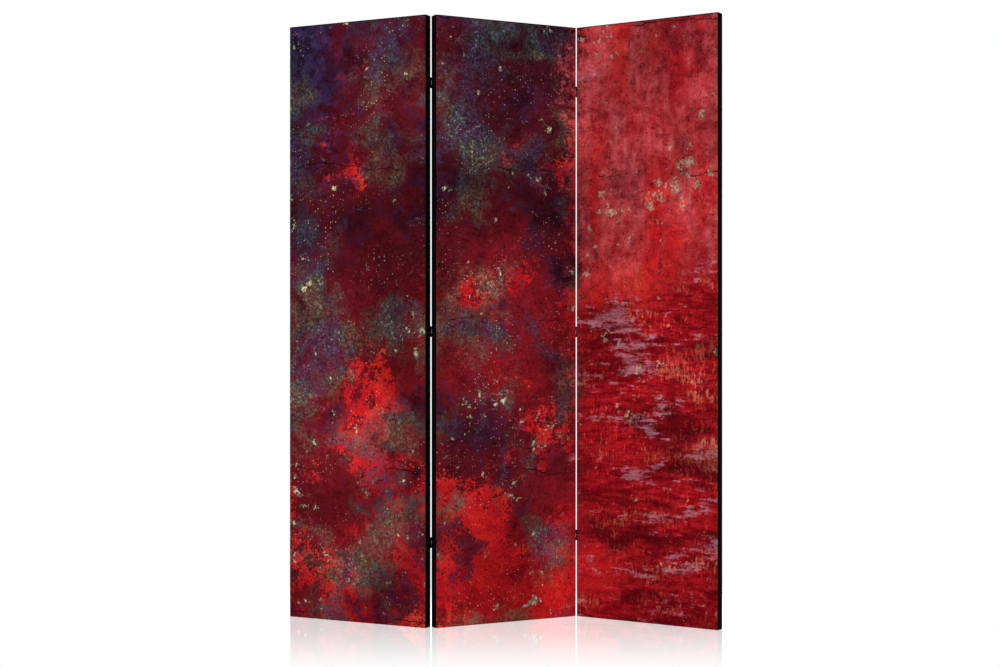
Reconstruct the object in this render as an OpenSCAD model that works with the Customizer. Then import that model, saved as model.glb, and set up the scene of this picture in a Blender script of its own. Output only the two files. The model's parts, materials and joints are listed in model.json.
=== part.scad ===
// Folding room divider: three pine frames with printed canvas stretched over them,
// joined by two-way hinges so that each junction folds forwards or backwards.
// Millimetres. X runs to the right, the front faces -Y, Z is up, the floor is z = 0.
// The origin lies on the floor, in the middle of the folded screen's footprint.
//
// Each panel is drawn in its own frame first: x across its width from its middle,
// y through its thickness from its middle, z from the floor. Then it is set in its place.

/* [Panel] */
// Width of one panel, over its canvas
panel_w = 450; // [350:10:600]
// Height of one panel
panel_h = 1720; // [1400:10:2000]
// Thickness of one panel, over its canvas and its back cover
panel_t = 30; // [26:0.5:40]

/* [Fold at rest] */
// Turn of the middle panel out of the X direction, in degrees
middle_turn = 27; // [0:1:45]
// Fold of the left panel backwards, in degrees: 0 is flat, 180 is back to back
left_fold = 53; // [0:1:180]
// Fold of the right panel forwards, in degrees: 0 is flat, 180 is front to front
right_fold = 59; // [0:1:180]

/* [Frame] */
// Width of a stile, seen from the front
stile_w = 38; // [34:1:60]
// Height of a rail, seen from the front
rail_h = 38; // [30:1:60]
// Height of the mid rail's middle above the middle of the panel
mid_rail_up = 0; // [-200:5:200]
// How far the mid rail stands back from the front of the frame, to stay off the canvas
mid_rail_back = 3; // [1:0.5:6]
// Diameter of a dowel
dowel_d = 8; // [6:1:10]
// Length of a dowel, half in the stile and half in the rail
dowel_l = 36; // [24:2:40]
// Distance between the two dowels of one joint
dowel_apart = 18; // [14:1:20]
// Chamfer at each end of a dowel
dowel_chamfer = 1; // [0.5:0.25:1.5]
// Room all round a dowel in its bore
dowel_fit = 0.05; // [0.02:0.01:0.1]
// Spare depth at the end of a dowel's bore
dowel_end_gap = 1; // [0.5:0.5:3]
// Room between a rail's end and the stile
rail_fit = 0.05; // [0.02:0.01:0.2]

/* [Covering] */
// Thickness of the canvas
canvas_t = 0.5; // [0.3:0.1:1]
// Width of canvas turned over onto the back
canvas_return = 28; // [24:1:32]
// Thickness of the back cover
cover_t = 0.5; // [0.3:0.1:1]
// How far the back cover's edge stays inside the panel's edge
cover_inset = 4; // [2:0.5:5]
// Room between a covering and what lies under it
fabric_fit = 0.05; // [0.02:0.01:0.1]

/* [Staples] */
// Width of a staple across its crown
staple_w = 10; // [8:0.5:13]
// Width of the staple's flat wire
staple_wire_w = 1.2; // [0.8:0.1:1.5]
// Thickness of the staple's flat wire
staple_wire_t = 0.5; // [0.4:0.1:0.7]
// Length of a staple's leg
staple_leg = 6; // [4:0.5:7]
// Room round a staple in what it is driven through
staple_fit = 0.05; // [0.02:0.01:0.1]
// Greatest distance between two canvas staples
canvas_staple_pitch = 110; // [60:10:200]
// Distance of the canvas staples from the panel's edge
canvas_staple_in = 19; // [17:0.5:22]
// Greatest distance between two cover staples
cover_staple_pitch = 160; // [60:10:240]
// Distance of the cover staples from the panel's edge
cover_staple_in = 10; // [8:0.5:13]
// Distance of the first staples of a row from the panel's corner
staple_row_end = 60; // [50:5:90]

/* [Hinge] */
// Height of a hinge
hinge_h = 30; // [26:1:60]
// Height of the lower hinges' middle above the floor
low_hinge_up = 237; // [120:1:400]
// How far the mid hinges' middle lies below the middle of the panel
mid_hinge_down = 29; // [0:1:120]
// How far the upper hinges' middle lies below the top of the panel
top_hinge_down = 188; // [120:1:400]
// Thickness of a leaf that is screwed to a panel, and of its rolled knuckles
leaf_t = 0.5; // [0.5:0.1:1.5]
// Thickness of the centre leaf, which carries a knuckle at each edge
centre_leaf_t = 0.8; // [0.6:0.1:1.2]
// Diameter of a hinge pin
pin_d = 1.2; // [1:0.1:1.4]
// Running room round a hinge pin
pin_fit = 0.05; // [0.02:0.01:0.1]
// Distance of a pin's axis outside the panel's face
pin_out = 0.3; // [0.3:0.1:2]
// Diameter of a pin's peened head
pin_head_d = 2.1; // [1.6:0.1:2.2]
// Height of a pin's head
pin_head_h = 0.7; // [0.5:0.1:1.5]
// Room between a pin's head and the knuckle next to it
pin_head_gap = 0.1; // [0.05:0.05:0.3]
// Air between a knuckle and the panels' sides, which sets the gap between the panels
knuckle_side_gap = 0.15; // [0.15:0.05:1]
// Air between a knuckle and the knuckle above or below it
knuckle_end_gap = 0.3; // [0.1:0.05:0.6]
// Air between a knuckle and the leaf that is cut out around it
notch_gap = 0.3; // [0.2:0.05:0.8]
// Distance between a leaf's free edge and the knuckles at the other pin
leaf_edge_gap = 5.8; // [2:0.1:8]

/* [Screws] */
// Diameter of a screw's shank
screw_d = 2.4; // [2:0.1:2.6]
// Length of a screw, with its head
screw_l = 16; // [10:1:18]
// Diameter of a screw's countersunk head
screw_head_d = 3.2; // [2.8:0.1:3.3]
// How far a screw's head lies below the face of the leaf
screw_sunk = 0.05; // [0:0.01:0.1]
// Length of a screw's point
screw_point = 3; // [1:0.5:5]
// Diameter of a screw's blunt tip
screw_tip_d = 0.4; // [0.2:0.1:1]
// Distance between the two screws of a leaf
screw_apart = 17; // [12:1:20]
// Room round a screw in the leaf and in the wood
screw_fit = 0.05; // [0.02:0.01:0.1]
// Room round a screw in the canvas
screw_canvas_gap = 0.3; // [0.1:0.1:0.6]
// Width of the cross recess's arms
recess_w = 0.6; // [0.4:0.1:0.8]
// Length of the cross recess's arms, end to end
recess_l = 1.6; // [1.2:0.1:2]
// Depth of the cross recess
recess_deep = 0.4; // [0.3:0.05:0.5]

/* [Hidden] */
// Small overlap that makes a cut pass right through
cut = 1;
round_fn = 48;

LEFT = 0;
MIDDLE = 1;
RIGHT = 2;
LEFT_SIDE = -1;
RIGHT_SIDE = 1;

// The gap between two panels follows from the hinge's knuckles
knuckle_r = pin_d / 2 + pin_fit + leaf_t;
panel_gap = 2 * (knuckle_r + knuckle_side_gap);

// The pins' axes in a panel's own frame: beyond its side, and just outside its face
pin_x = panel_w / 2 + panel_gap / 2;
pin_y = panel_t / 2 + pin_out;

// A leaf's width from its pin's axis to its free edge, and the middle of its flat part
leaf_w = 2 * pin_y - knuckle_r - leaf_edge_gap;
screw_y = pin_y - (knuckle_r + notch_gap + leaf_w) / 2;
knuckle_h = (hinge_h - 2 * knuckle_end_gap) / 3;
notch_h = knuckle_h + 2 * knuckle_end_gap;
hinge_zs = [low_hinge_up, panel_h / 2 - mid_hinge_down, panel_h - top_hinge_down];
LOWER = 0;
MID = 1;
UPPER = 2;

// The layers of a panel through its thickness, from the front to the back
front_y = -panel_t / 2;
back_y = panel_t / 2;
canvas_back_y = back_y - cover_t - fabric_fit;
frame_front_y = front_y + canvas_t + fabric_fit;
frame_back_y = canvas_back_y - canvas_t - fabric_fit;
dowel_y = (frame_front_y + frame_back_y) / 2;

// The frame inside the canvas
frame_in = canvas_t + fabric_fit;
frame_half_w = panel_w / 2 - frame_in;
stile_in_x = frame_half_w - stile_w;
rail_zs = [frame_in + rail_h / 2, panel_h / 2 + mid_rail_up, panel_h - frame_in - rail_h / 2];

// The folded screen seen from above, first with the middle panel's middle at [0, 0]
function spin(p, a) = [p.x * cos(a) - p.y * sin(a), p.x * sin(a) + p.y * cos(a)];
turns = [middle_turn - left_fold, middle_turn, middle_turn - right_fold];
left_back_pin = spin([-pin_x, pin_y], turns[MIDDLE]);
right_front_pin = spin([pin_x, -pin_y], turns[MIDDLE]);
centres = [
    left_back_pin - spin([pin_x, pin_y], turns[LEFT]),
    [0, 0],
    right_front_pin - spin([-pin_x, -pin_y], turns[RIGHT])
];
left_front_pin = centres[LEFT] + spin([pin_x, -pin_y], turns[LEFT]);
right_back_pin = centres[RIGHT] + spin([-pin_x, pin_y], turns[RIGHT]);
pins = [left_front_pin, left_back_pin, right_front_pin, right_back_pin];

// The outermost points of the footprint: the canvases' and covers' corners, and the knuckles
function corners(i, half_w, y0, y1) =
    [for (x = [-half_w, half_w], y = [y0, y1]) centres[i] + spin([x, y], turns[i])];
outline = concat(
    [for (i = [LEFT, MIDDLE, RIGHT]) each corners(i, panel_w / 2, front_y, canvas_back_y)],
    [for (i = [LEFT, MIDDLE, RIGHT]) each corners(i, panel_w / 2 - cover_inset, front_y, back_y)],
    [for (p = pins) each [p - [knuckle_r, knuckle_r], p + [knuckle_r, knuckle_r]]]
);
outline_x = [for (p = outline) p.x];
outline_y = [for (p = outline) p.y];
origin = [(min(outline_x) + max(outline_x)) / 2, (min(outline_y) + max(outline_y)) / 2];

// The joints' axes and the panels' middles, as they stand around the origin
echo(left_front_pin = left_front_pin - origin, left_back_pin = left_back_pin - origin);
echo(right_front_pin = right_front_pin - origin, right_back_pin = right_back_pin - origin);
echo(panel_middles = [for (c = centres) c - origin], panel_turns = turns);

HINGE_LEAVES = [
    for (side = ["left", "right"], level = ["lower", "mid", "upper"],
         leaf = ["outer_leaf", "centre_leaf", "inner_leaf"])
    str(side, "_", level, "_hinge_", leaf)
];
HINGE_FASTENERS = [
    for (side = ["left", "right"],
         group = ["front_hinge_pins", "back_hinge_pins", "outer_hinge_screws", "inner_hinge_screws"])
    str(side, "_", group)
];
PANEL_PIECES = [
    for (panel = ["left", "middle", "right"],
         piece = ["left_stile", "right_stile", "top_rail", "mid_rail", "bottom_rail", "dowels",
                  "canvas", "canvas_staples", "back_cover", "cover_staples"])
    str(panel, "_panel_", piece)
];

// Sets what is drawn in a panel's own frame in its place in the folded screen
module in_panel(i) {
    translate(centres[i] - origin) rotate([0, 0, turns[i]]) children();
}

// What is drawn for a panel's right side, turned half a turn when the side is the left one
module on_side(side) {
    rotate([0, 0, side == RIGHT_SIDE ? 0 : 180]) children();
}

module box_between(low, high) {
    translate(low) cube(high - low);
}

// A panel's sides that carry hinge leaves
function has_hinges(i, side) = i == MIDDLE || (i == LEFT && side == RIGHT_SIDE)
    || (i == RIGHT && side == LEFT_SIDE);

// The places along a row, evenly spread and never further apart than the pitch
function row_places(length, pitch) =
    let (run = length - 2 * staple_row_end, gaps = max(1, ceil(run / pitch)))
    [for (k = [0:gaps]) -run / 2 + k * run / gaps];

// A staple with room round it: the crown along x, flush with y = 0, the legs toward -y
module staple(room) {
    box_between([-staple_w / 2 - room, -staple_wire_t - room, -staple_wire_w / 2 - room],
                [staple_w / 2 + room, room, staple_wire_w / 2 + room]);
    for (s = [-1, 1])
        translate([s * (staple_w - staple_wire_t) / 2, 0, 0])
            box_between([-staple_wire_t / 2 - room, -staple_leg - room, -staple_wire_w / 2 - room],
                        [staple_wire_t / 2 + room, room, staple_wire_w / 2 + room]);
}

// Staples in a ring round the panel's back, their crowns flush with the plane y
module staple_ring(y, edge_in, pitch, room = 0) {
    for (z = row_places(panel_h, pitch), s = [-1, 1])
        translate([s * (panel_w / 2 - edge_in), y, panel_h / 2 + z]) rotate([0, 90, 0]) staple(room);
    for (x = row_places(panel_w, pitch), s = [-1, 1])
        translate([x, y, panel_h / 2 + s * (panel_h / 2 - edge_in)]) staple(room);
}

module canvas_staple_ring(room = 0) {
    staple_ring(canvas_back_y, canvas_staple_in, canvas_staple_pitch, room);
}

module cover_staple_ring(room = 0) {
    staple_ring(back_y, cover_staple_in, cover_staple_pitch, room);
}

// What all the staples cut out of the canvas and the bars
module staple_cuts() {
    canvas_staple_ring(staple_fit);
    cover_staple_ring(staple_fit);
}

// The dowels' places, at both ends of every rail
module at_dowels() {
    for (z = rail_zs, dz = [-dowel_apart / 2, dowel_apart / 2], s = [-1, 1])
        translate([s * stile_in_x, dowel_y, z + dz]) rotate([0, 90, 0]) children();
}

module dowel_bores() {
    at_dowels() cylinder(d = dowel_d + 2 * dowel_fit, h = dowel_l + 2 * dowel_end_gap,
                         center = true, $fn = round_fn);
}

module dowels(i) {
    straight = dowel_l - 2 * dowel_chamfer;
    color("burlywood") in_panel(i) at_dowels() {
        cylinder(d = dowel_d, h = straight, center = true, $fn = round_fn);
        for (s = [0, 180]) rotate([s, 0, 0]) translate([0, 0, straight / 2])
            cylinder(d1 = dowel_d, d2 = dowel_d - 2 * dowel_chamfer, h = dowel_chamfer, $fn = round_fn);
    }
}

// The screws' places on a panel's side, each pointing into the panel along its own -z
module at_screws(side) {
    on_side(side) for (z = hinge_zs, dz = [-screw_apart / 2, screw_apart / 2])
        translate([panel_w / 2 + leaf_t, -screw_y, z + dz]) rotate([0, 90, 0]) children();
}

module screw_bores(side, room) {
    at_screws(side) translate([0, 0, -screw_l - cut])
        cylinder(d = screw_d + 2 * room, h = screw_l + 2 * cut, $fn = round_fn);
}

module stile(i, side) {
    xs = [side * stile_in_x, side * frame_half_w];
    color("wheat") in_panel(i) difference() {
        box_between([min(xs), frame_front_y, frame_in], [max(xs), frame_back_y, panel_h - frame_in]);
        dowel_bores();
        staple_cuts();
        if (has_hinges(i, side)) screw_bores(side, screw_fit);
    }
}

module rail(i, z, back = 0) {
    color("wheat") in_panel(i) difference() {
        box_between([-stile_in_x + rail_fit, frame_front_y + back, z - rail_h / 2],
                    [stile_in_x - rail_fit, frame_back_y, z + rail_h / 2]);
        dowel_bores();
        staple_cuts();
    }
}

module bottom_rail(i) { rail(i, rail_zs[0]); }
module mid_rail(i) { rail(i, rail_zs[1], mid_rail_back); }
module top_rail(i) { rail(i, rail_zs[2]); }

// The canvas is a tray: its front, its four wrapped edges and its turned-over border behind
module canvas(i) {
    color("firebrick") in_panel(i) difference() {
        box_between([-panel_w / 2, front_y, 0], [panel_w / 2, canvas_back_y, panel_h]);
        box_between([-panel_w / 2 + canvas_t, front_y + canvas_t, canvas_t],
                    [panel_w / 2 - canvas_t, canvas_back_y - canvas_t, panel_h - canvas_t]);
        box_between([-panel_w / 2 + canvas_return, 0, canvas_return],
                    [panel_w / 2 - canvas_return, back_y + cut, panel_h - canvas_return]);
        staple_cuts();
        for (side = [LEFT_SIDE, RIGHT_SIDE])
            if (has_hinges(i, side)) screw_bores(side, screw_canvas_gap);
    }
}

module canvas_staples(i) {
    color("silver") in_panel(i) canvas_staple_ring();
}

module back_cover(i) {
    color("dimgray") in_panel(i) difference() {
        box_between([-panel_w / 2 + cover_inset, back_y - cover_t, cover_inset],
                    [panel_w / 2 - cover_inset, back_y, panel_h - cover_inset]);
        cover_staple_ring(staple_fit);
    }
}

module cover_staples(i) {
    color("silver") in_panel(i) cover_staple_ring();
}

// Sets a hinge part in its place: x and y from the middle of the gap, z from the hinge's middle
module at_hinge(side, level) {
    on_side(side) translate([pin_x, 0, hinge_zs[level]]) children();
}

module knuckle(y, z) {
    translate([0, y, z]) cylinder(r = knuckle_r, h = knuckle_h, center = true, $fn = round_fn);
}

module pin_bore(y) {
    translate([0, y, 0])
        cylinder(r = pin_d / 2 + pin_fit, h = hinge_h + 2 * cut, center = true, $fn = round_fn);
}

// A leaf screwed to a panel's side: two knuckles, with a notch between them for the centre leaf's
module panel_leaf(i, side, level) {
    notch_y = -pin_y + knuckle_r + notch_gap;
    color("black") in_panel(i) at_hinge(side, level) difference() {
        union() {
            box_between([-panel_gap / 2, -pin_y, -hinge_h / 2],
                        [-panel_gap / 2 + leaf_t, -pin_y + leaf_w, hinge_h / 2]);
            for (s = [-1, 1]) knuckle(-pin_y, s * (hinge_h - knuckle_h) / 2);
        }
        box_between([-panel_gap, -pin_y - panel_gap, -notch_h / 2], [panel_gap, notch_y, notch_h / 2]);
        pin_bore(-pin_y);
        for (s = [-1, 1]) translate([0, -screw_y, s * screw_apart / 2]) rotate([0, 90, 0])
            leaf_screw_hole();
    }
}

// A countersunk hole through a leaf, its wide mouth on the leaf's face toward the gap's middle
module leaf_screw_hole() {
    face = -panel_gap / 2 + leaf_t;
    wide_r = screw_head_d / 2 + screw_fit;
    narrow_r = screw_d / 2 + screw_fit;
    translate([0, 0, -panel_gap]) cylinder(r = narrow_r, h = panel_gap, $fn = round_fn);
    translate([0, 0, face - screw_sunk - (wide_r - narrow_r)])
        cylinder(r1 = narrow_r, r2 = wide_r, h = wide_r - narrow_r, $fn = round_fn);
    translate([0, 0, face - screw_sunk]) cylinder(r = wide_r, h = cut, $fn = round_fn);
}

// The loose leaf between the pins: one knuckle at each pin, cut back beside it for the others
module centre_leaf(i, side, level) {
    reach = pin_y - knuckle_r - notch_gap;
    color("black") in_panel(i) at_hinge(side, level) difference() {
        union() {
            box_between([-centre_leaf_t / 2, -reach, -hinge_h / 2], [centre_leaf_t / 2, reach, hinge_h / 2]);
            box_between([-centre_leaf_t / 2, -pin_y, -knuckle_h / 2],
                        [centre_leaf_t / 2, pin_y, knuckle_h / 2]);
            for (s = [-1, 1]) knuckle(s * pin_y, 0);
        }
        for (s = [-1, 1]) pin_bore(s * pin_y);
    }
}

// The pins of the three hinges on one side of a panel, each with a peened head at both ends
module hinge_pins(i, side) {
    straight = hinge_h + 2 * pin_head_gap;
    flat_r = pin_head_d / 2;
    top_r = pin_d / 2;
    color("black") in_panel(i) for (level = [LOWER, MID, UPPER])
        at_hinge(side, level) translate([0, -pin_y, 0]) {
            cylinder(d = pin_d, h = straight, center = true, $fn = round_fn);
            for (s = [0, 180]) rotate([s, 0, 0]) translate([0, 0, straight / 2]) {
                cylinder(r = flat_r, h = pin_head_h / 2, $fn = round_fn);
                translate([0, 0, pin_head_h / 2])
                    cylinder(r1 = flat_r, r2 = top_r, h = pin_head_h / 2, $fn = round_fn);
            }
        }
}

// A countersunk screw, its head's face at z = 0 and its point toward -z
module screw() {
    head_h = (screw_head_d - screw_d) / 2;
    difference() {
        union() {
            translate([0, 0, -head_h])
                cylinder(d1 = screw_d, d2 = screw_head_d, h = head_h, $fn = round_fn);
            translate([0, 0, -screw_l + screw_point])
                cylinder(d = screw_d, h = screw_l - screw_point - head_h, $fn = round_fn);
            translate([0, 0, -screw_l])
                cylinder(d1 = screw_tip_d, d2 = screw_d, h = screw_point, $fn = round_fn);
        }
        for (a = [0, 90]) rotate([0, 0, a])
            box_between([-recess_l / 2, -recess_w / 2, -recess_deep], [recess_l / 2, recess_w / 2, cut]);
    }
}

module hinge_screws(i, side) {
    color("black") in_panel(i) at_screws(side) translate([0, 0, -screw_sunk]) screw();
}

stile(LEFT, LEFT_SIDE);  // left_panel_left_stile
stile(LEFT, RIGHT_SIDE);  // left_panel_right_stile
top_rail(LEFT);  // left_panel_top_rail
mid_rail(LEFT);  // left_panel_mid_rail
bottom_rail(LEFT);  // left_panel_bottom_rail
dowels(LEFT);  // left_panel_dowels
canvas(LEFT);  // left_panel_canvas
canvas_staples(LEFT);  // left_panel_canvas_staples
back_cover(LEFT);  // left_panel_back_cover
cover_staples(LEFT);  // left_panel_cover_staples

stile(MIDDLE, LEFT_SIDE);  // middle_panel_left_stile
stile(MIDDLE, RIGHT_SIDE);  // middle_panel_right_stile
top_rail(MIDDLE);  // middle_panel_top_rail
mid_rail(MIDDLE);  // middle_panel_mid_rail
bottom_rail(MIDDLE);  // middle_panel_bottom_rail
dowels(MIDDLE);  // middle_panel_dowels
canvas(MIDDLE);  // middle_panel_canvas
canvas_staples(MIDDLE);  // middle_panel_canvas_staples
back_cover(MIDDLE);  // middle_panel_back_cover
cover_staples(MIDDLE);  // middle_panel_cover_staples

stile(RIGHT, LEFT_SIDE);  // right_panel_left_stile
stile(RIGHT, RIGHT_SIDE);  // right_panel_right_stile
top_rail(RIGHT);  // right_panel_top_rail
mid_rail(RIGHT);  // right_panel_mid_rail
bottom_rail(RIGHT);  // right_panel_bottom_rail
dowels(RIGHT);  // right_panel_dowels
canvas(RIGHT);  // right_panel_canvas
canvas_staples(RIGHT);  // right_panel_canvas_staples
back_cover(RIGHT);  // right_panel_back_cover
cover_staples(RIGHT);  // right_panel_cover_staples

panel_leaf(LEFT, RIGHT_SIDE, LOWER);  // left_lower_hinge_outer_leaf
centre_leaf(LEFT, RIGHT_SIDE, LOWER);  // left_lower_hinge_centre_leaf
panel_leaf(MIDDLE, LEFT_SIDE, LOWER);  // left_lower_hinge_inner_leaf
panel_leaf(LEFT, RIGHT_SIDE, MID);  // left_mid_hinge_outer_leaf
centre_leaf(LEFT, RIGHT_SIDE, MID);  // left_mid_hinge_centre_leaf
panel_leaf(MIDDLE, LEFT_SIDE, MID);  // left_mid_hinge_inner_leaf
panel_leaf(LEFT, RIGHT_SIDE, UPPER);  // left_upper_hinge_outer_leaf
centre_leaf(LEFT, RIGHT_SIDE, UPPER);  // left_upper_hinge_centre_leaf
panel_leaf(MIDDLE, LEFT_SIDE, UPPER);  // left_upper_hinge_inner_leaf

panel_leaf(RIGHT, LEFT_SIDE, LOWER);  // right_lower_hinge_outer_leaf
centre_leaf(RIGHT, LEFT_SIDE, LOWER);  // right_lower_hinge_centre_leaf
panel_leaf(MIDDLE, RIGHT_SIDE, LOWER);  // right_lower_hinge_inner_leaf
panel_leaf(RIGHT, LEFT_SIDE, MID);  // right_mid_hinge_outer_leaf
centre_leaf(RIGHT, LEFT_SIDE, MID);  // right_mid_hinge_centre_leaf
panel_leaf(MIDDLE, RIGHT_SIDE, MID);  // right_mid_hinge_inner_leaf
panel_leaf(RIGHT, LEFT_SIDE, UPPER);  // right_upper_hinge_outer_leaf
centre_leaf(RIGHT, LEFT_SIDE, UPPER);  // right_upper_hinge_centre_leaf
panel_leaf(MIDDLE, RIGHT_SIDE, UPPER);  // right_upper_hinge_inner_leaf

hinge_pins(LEFT, RIGHT_SIDE);  // left_front_hinge_pins
hinge_pins(MIDDLE, LEFT_SIDE);  // left_back_hinge_pins
hinge_screws(LEFT, RIGHT_SIDE);  // left_outer_hinge_screws
hinge_screws(MIDDLE, LEFT_SIDE);  // left_inner_hinge_screws
hinge_pins(MIDDLE, RIGHT_SIDE);  // right_front_hinge_pins
hinge_pins(RIGHT, LEFT_SIDE);  // right_back_hinge_pins
hinge_screws(RIGHT, LEFT_SIDE);  // right_outer_hinge_screws
hinge_screws(MIDDLE, RIGHT_SIDE);  // right_inner_hinge_screws
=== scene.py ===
# %% [markdown]
# # A folding screen of printed canvas
#
# The object is a room divider: three tall wooden frames with printed canvas stretched over them,
# joined by small black two-way hinges. The wood, the staples and the hinges come from the packed
# model, at their real size and place. This lesson adds what a solid model leaves out: cloth that
# is stretched, folded and stapled, ink on it, and a finish on every piece.
#
# All lengths are in metres. The front of the screen faces -Y, and z = 0 is the floor.

# %% Load the frame
import json
import math

import bmesh
import bpy
import numpy as np
from mathutils import Matrix, Vector, noise


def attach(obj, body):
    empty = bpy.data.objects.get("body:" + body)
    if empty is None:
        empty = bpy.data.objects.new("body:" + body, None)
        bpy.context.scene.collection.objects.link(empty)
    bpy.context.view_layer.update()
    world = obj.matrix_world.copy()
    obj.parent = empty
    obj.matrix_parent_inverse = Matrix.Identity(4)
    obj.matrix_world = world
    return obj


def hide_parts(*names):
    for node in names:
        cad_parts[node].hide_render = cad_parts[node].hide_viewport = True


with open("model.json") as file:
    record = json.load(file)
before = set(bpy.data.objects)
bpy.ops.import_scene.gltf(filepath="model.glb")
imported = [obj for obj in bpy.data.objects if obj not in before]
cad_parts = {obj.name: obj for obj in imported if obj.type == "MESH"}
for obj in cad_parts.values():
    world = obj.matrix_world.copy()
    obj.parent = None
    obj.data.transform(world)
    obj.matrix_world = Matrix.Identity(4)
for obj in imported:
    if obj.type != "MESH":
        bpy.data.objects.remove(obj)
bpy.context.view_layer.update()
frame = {"nodes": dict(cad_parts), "record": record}
MM = 0.001

# %% [markdown]
# ## The camera
#
# The photograph was taken from straight ahead, about half as high as the screen, with a longish
# lens: the panels' uprights stay upright in it, so the camera doesn't tilt. Its distance and lens
# were found by matching the twelve corners of the three panels. A tiny shift upwards stands in for
# the crop, and depth of field stays off, so the other views can share this camera.

# %% The camera
CAMERA_PLACE = (-0.0041, -4.7826, 0.8179)
CAMERA_LENS = 60.21
CAMERA_SENSOR_W = 36
CAMERA_SHIFT_UP = 0.0028

camera_data = bpy.data.cameras.new("camera")
camera_data.lens = CAMERA_LENS
camera_data.sensor_width = CAMERA_SENSOR_W
camera_data.shift_y = CAMERA_SHIFT_UP
camera = bpy.data.objects.new("camera", camera_data)
bpy.context.scene.collection.objects.link(camera)
camera.location = CAMERA_PLACE
camera.rotation_euler = (math.radians(90), 0, 0)
bpy.context.scene.camera = camera
bpy.context.scene.view_settings.view_transform = "Standard"

# %% [markdown]
# ## A short way to write materials
#
# Every finish here is a small network of nodes. Written out call by call it would fill pages, so
# these helpers each add a node or two and return what comes out. A colour is written as the red,
# green and blue that a picture shows, from 0 to 255, and is turned into a shader's linear light.

# %% Helpers that add nodes
def linear(red, green, blue):
    """A picture's colour as linear light, with its alpha"""
    shares = [value / 255 for value in (red, green, blue)]
    light = [share / 12.92 if share < 0.04045 else ((share + 0.055) / 1.055) ** 2.4 for share in shares]
    return light + [1]


def feed(tree, socket, value):
    """Links a socket to another node's output, or sets its number"""
    if isinstance(value, bpy.types.NodeSocket):
        tree.links.new(value, socket)
    elif value is not None:
        socket.default_value = value


def add(tree, kind, inputs, **settings):
    """Adds a node, chooses its settings, then feeds its inputs by name or by number"""
    made = tree.nodes.new("ShaderNode" + kind)
    for name, value in settings.items():
        setattr(made, name, value)
    for socket, value in inputs.items():
        feed(tree, made.inputs[socket], value)
    return made


def new_material(name):
    """An empty material with one surface shader"""
    material = bpy.data.materials.new(name)
    material.use_nodes = True
    tree = material.node_tree
    tree.nodes.clear()
    shader = tree.nodes.new("ShaderNodeBsdfPrincipled")
    output = tree.nodes.new("ShaderNodeOutputMaterial")
    tree.links.new(shader.outputs[0], output.inputs["Surface"])
    return material, tree, shader


# %% [markdown]
# Most of the networks are sums, products, soft steps and clouds. A cloud is fractal noise: *size*
# is the width of its largest lumps in metres, and *seed* picks another cloud of the same kind.
# Cells are the islands of a Voronoi pattern. They place specks, knots and the felt's bond points.

# %% Helpers for patterns
def arithmetic(tree, kind, *values):
    """One Math node, whose kind is Blender's own word for the operation"""
    return add(tree, "Math", dict(enumerate(values)), operation=kind).outputs[0]


def sum_of(tree, *terms):
    total = terms[0]
    for term in terms[1:]:
        total = arithmetic(tree, "ADD", total, term)
    return total


def product(tree, *factors):
    total = factors[0]
    for factor in factors[1:]:
        total = arithmetic(tree, "MULTIPLY", total, factor)
    return total


def flipped(tree, value):
    return arithmetic(tree, "SUBTRACT", 1.0, value)


def vector_math(tree, kind, first, second=None, scale=None):
    return add(tree, "VectorMath", {0: first, 1: second, 3: scale}, operation=kind).outputs


def parts_of(tree, at):
    """A point's x, y and z"""
    return add(tree, "SeparateXYZ", {0: at}).outputs


def spread(tree, value, low, high, to_low=0.0, to_high=1.0, soft=True):
    """Stretches the part of a value between low and high over another range, and clips the rest"""
    kind = "SMOOTHSTEP" if soft else "LINEAR"
    inputs = {"Value": value, "From Min": low, "From Max": high, "To Min": to_low, "To Max": to_high}
    return add(tree, "MapRange", inputs, interpolation_type=kind).outputs[0]


def cloud(tree, at, size, seed, detail=5.0, rough=0.55, stretch=None):
    if stretch:
        at = placed(tree, at, stretch=stretch)
    inputs = {"Vector": at, "W": float(seed), "Scale": 1 / size, "Detail": detail, "Roughness": rough}
    return add(tree, "TexNoise", inputs, noise_dimensions="4D").outputs[0]


def centred(tree, value):
    """A cloud's value counted from its middle, so that it swings to both sides of 0"""
    return sum_of(tree, value, -0.5)


def cells(tree, at, size, dimensions="2D"):
    inputs = {"Vector": at, "Scale": 1 / size}
    return add(tree, "TexVoronoi", inputs, voronoi_dimensions=dimensions)


def placed(tree, at, shift=(0, 0, 0), stretch=(1, 1, 1), turn=0.0):
    """The same point seen by a pattern that is shifted, squeezed or turned"""
    inputs = {"Vector": at, "Location": shift, "Scale": stretch, "Rotation": (0, 0, turn)}
    return add(tree, "Mapping", inputs).outputs[0]


def pushed(tree, at, size, reach, seed):
    """A point that wanders by up to about half of reach, so that what is drawn at it looks torn"""
    inputs = {"Vector": at, "W": float(seed), "Scale": 1 / size, "Detail": 4.0}
    wander = add(tree, "TexNoise", inputs, noise_dimensions="4D").outputs[1]
    swing = vector_math(tree, "SUBTRACT", wander, (0.5, 0.5, 0.5))[0]
    return vector_math(tree, "ADD", at, vector_math(tree, "SCALE", swing, scale=reach)[0])[0]


def over(tree, below, colour, mask):
    """One coat of colour over another, as far as the mask lets it show"""
    made = tree.nodes.new("ShaderNodeMix")
    made.data_type = "RGBA"
    feed(tree, made.inputs[0], mask)
    feed(tree, made.inputs[6], below)
    feed(tree, made.inputs[7], colour)
    return made.outputs[2]


def colour_scale(tree, value, stops):
    """Turns a number into a colour through (place, (red, green, blue)) stops"""
    made = add(tree, "ValToRGB", {0: value})
    scale = made.color_ramp
    for place, _ in stops[2:]:
        scale.elements.new(place)
    for element, (place, rgb) in zip(scale.elements, stops):
        element.position = place
        element.color = linear(*rgb)
    return made.outputs[0]


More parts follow.
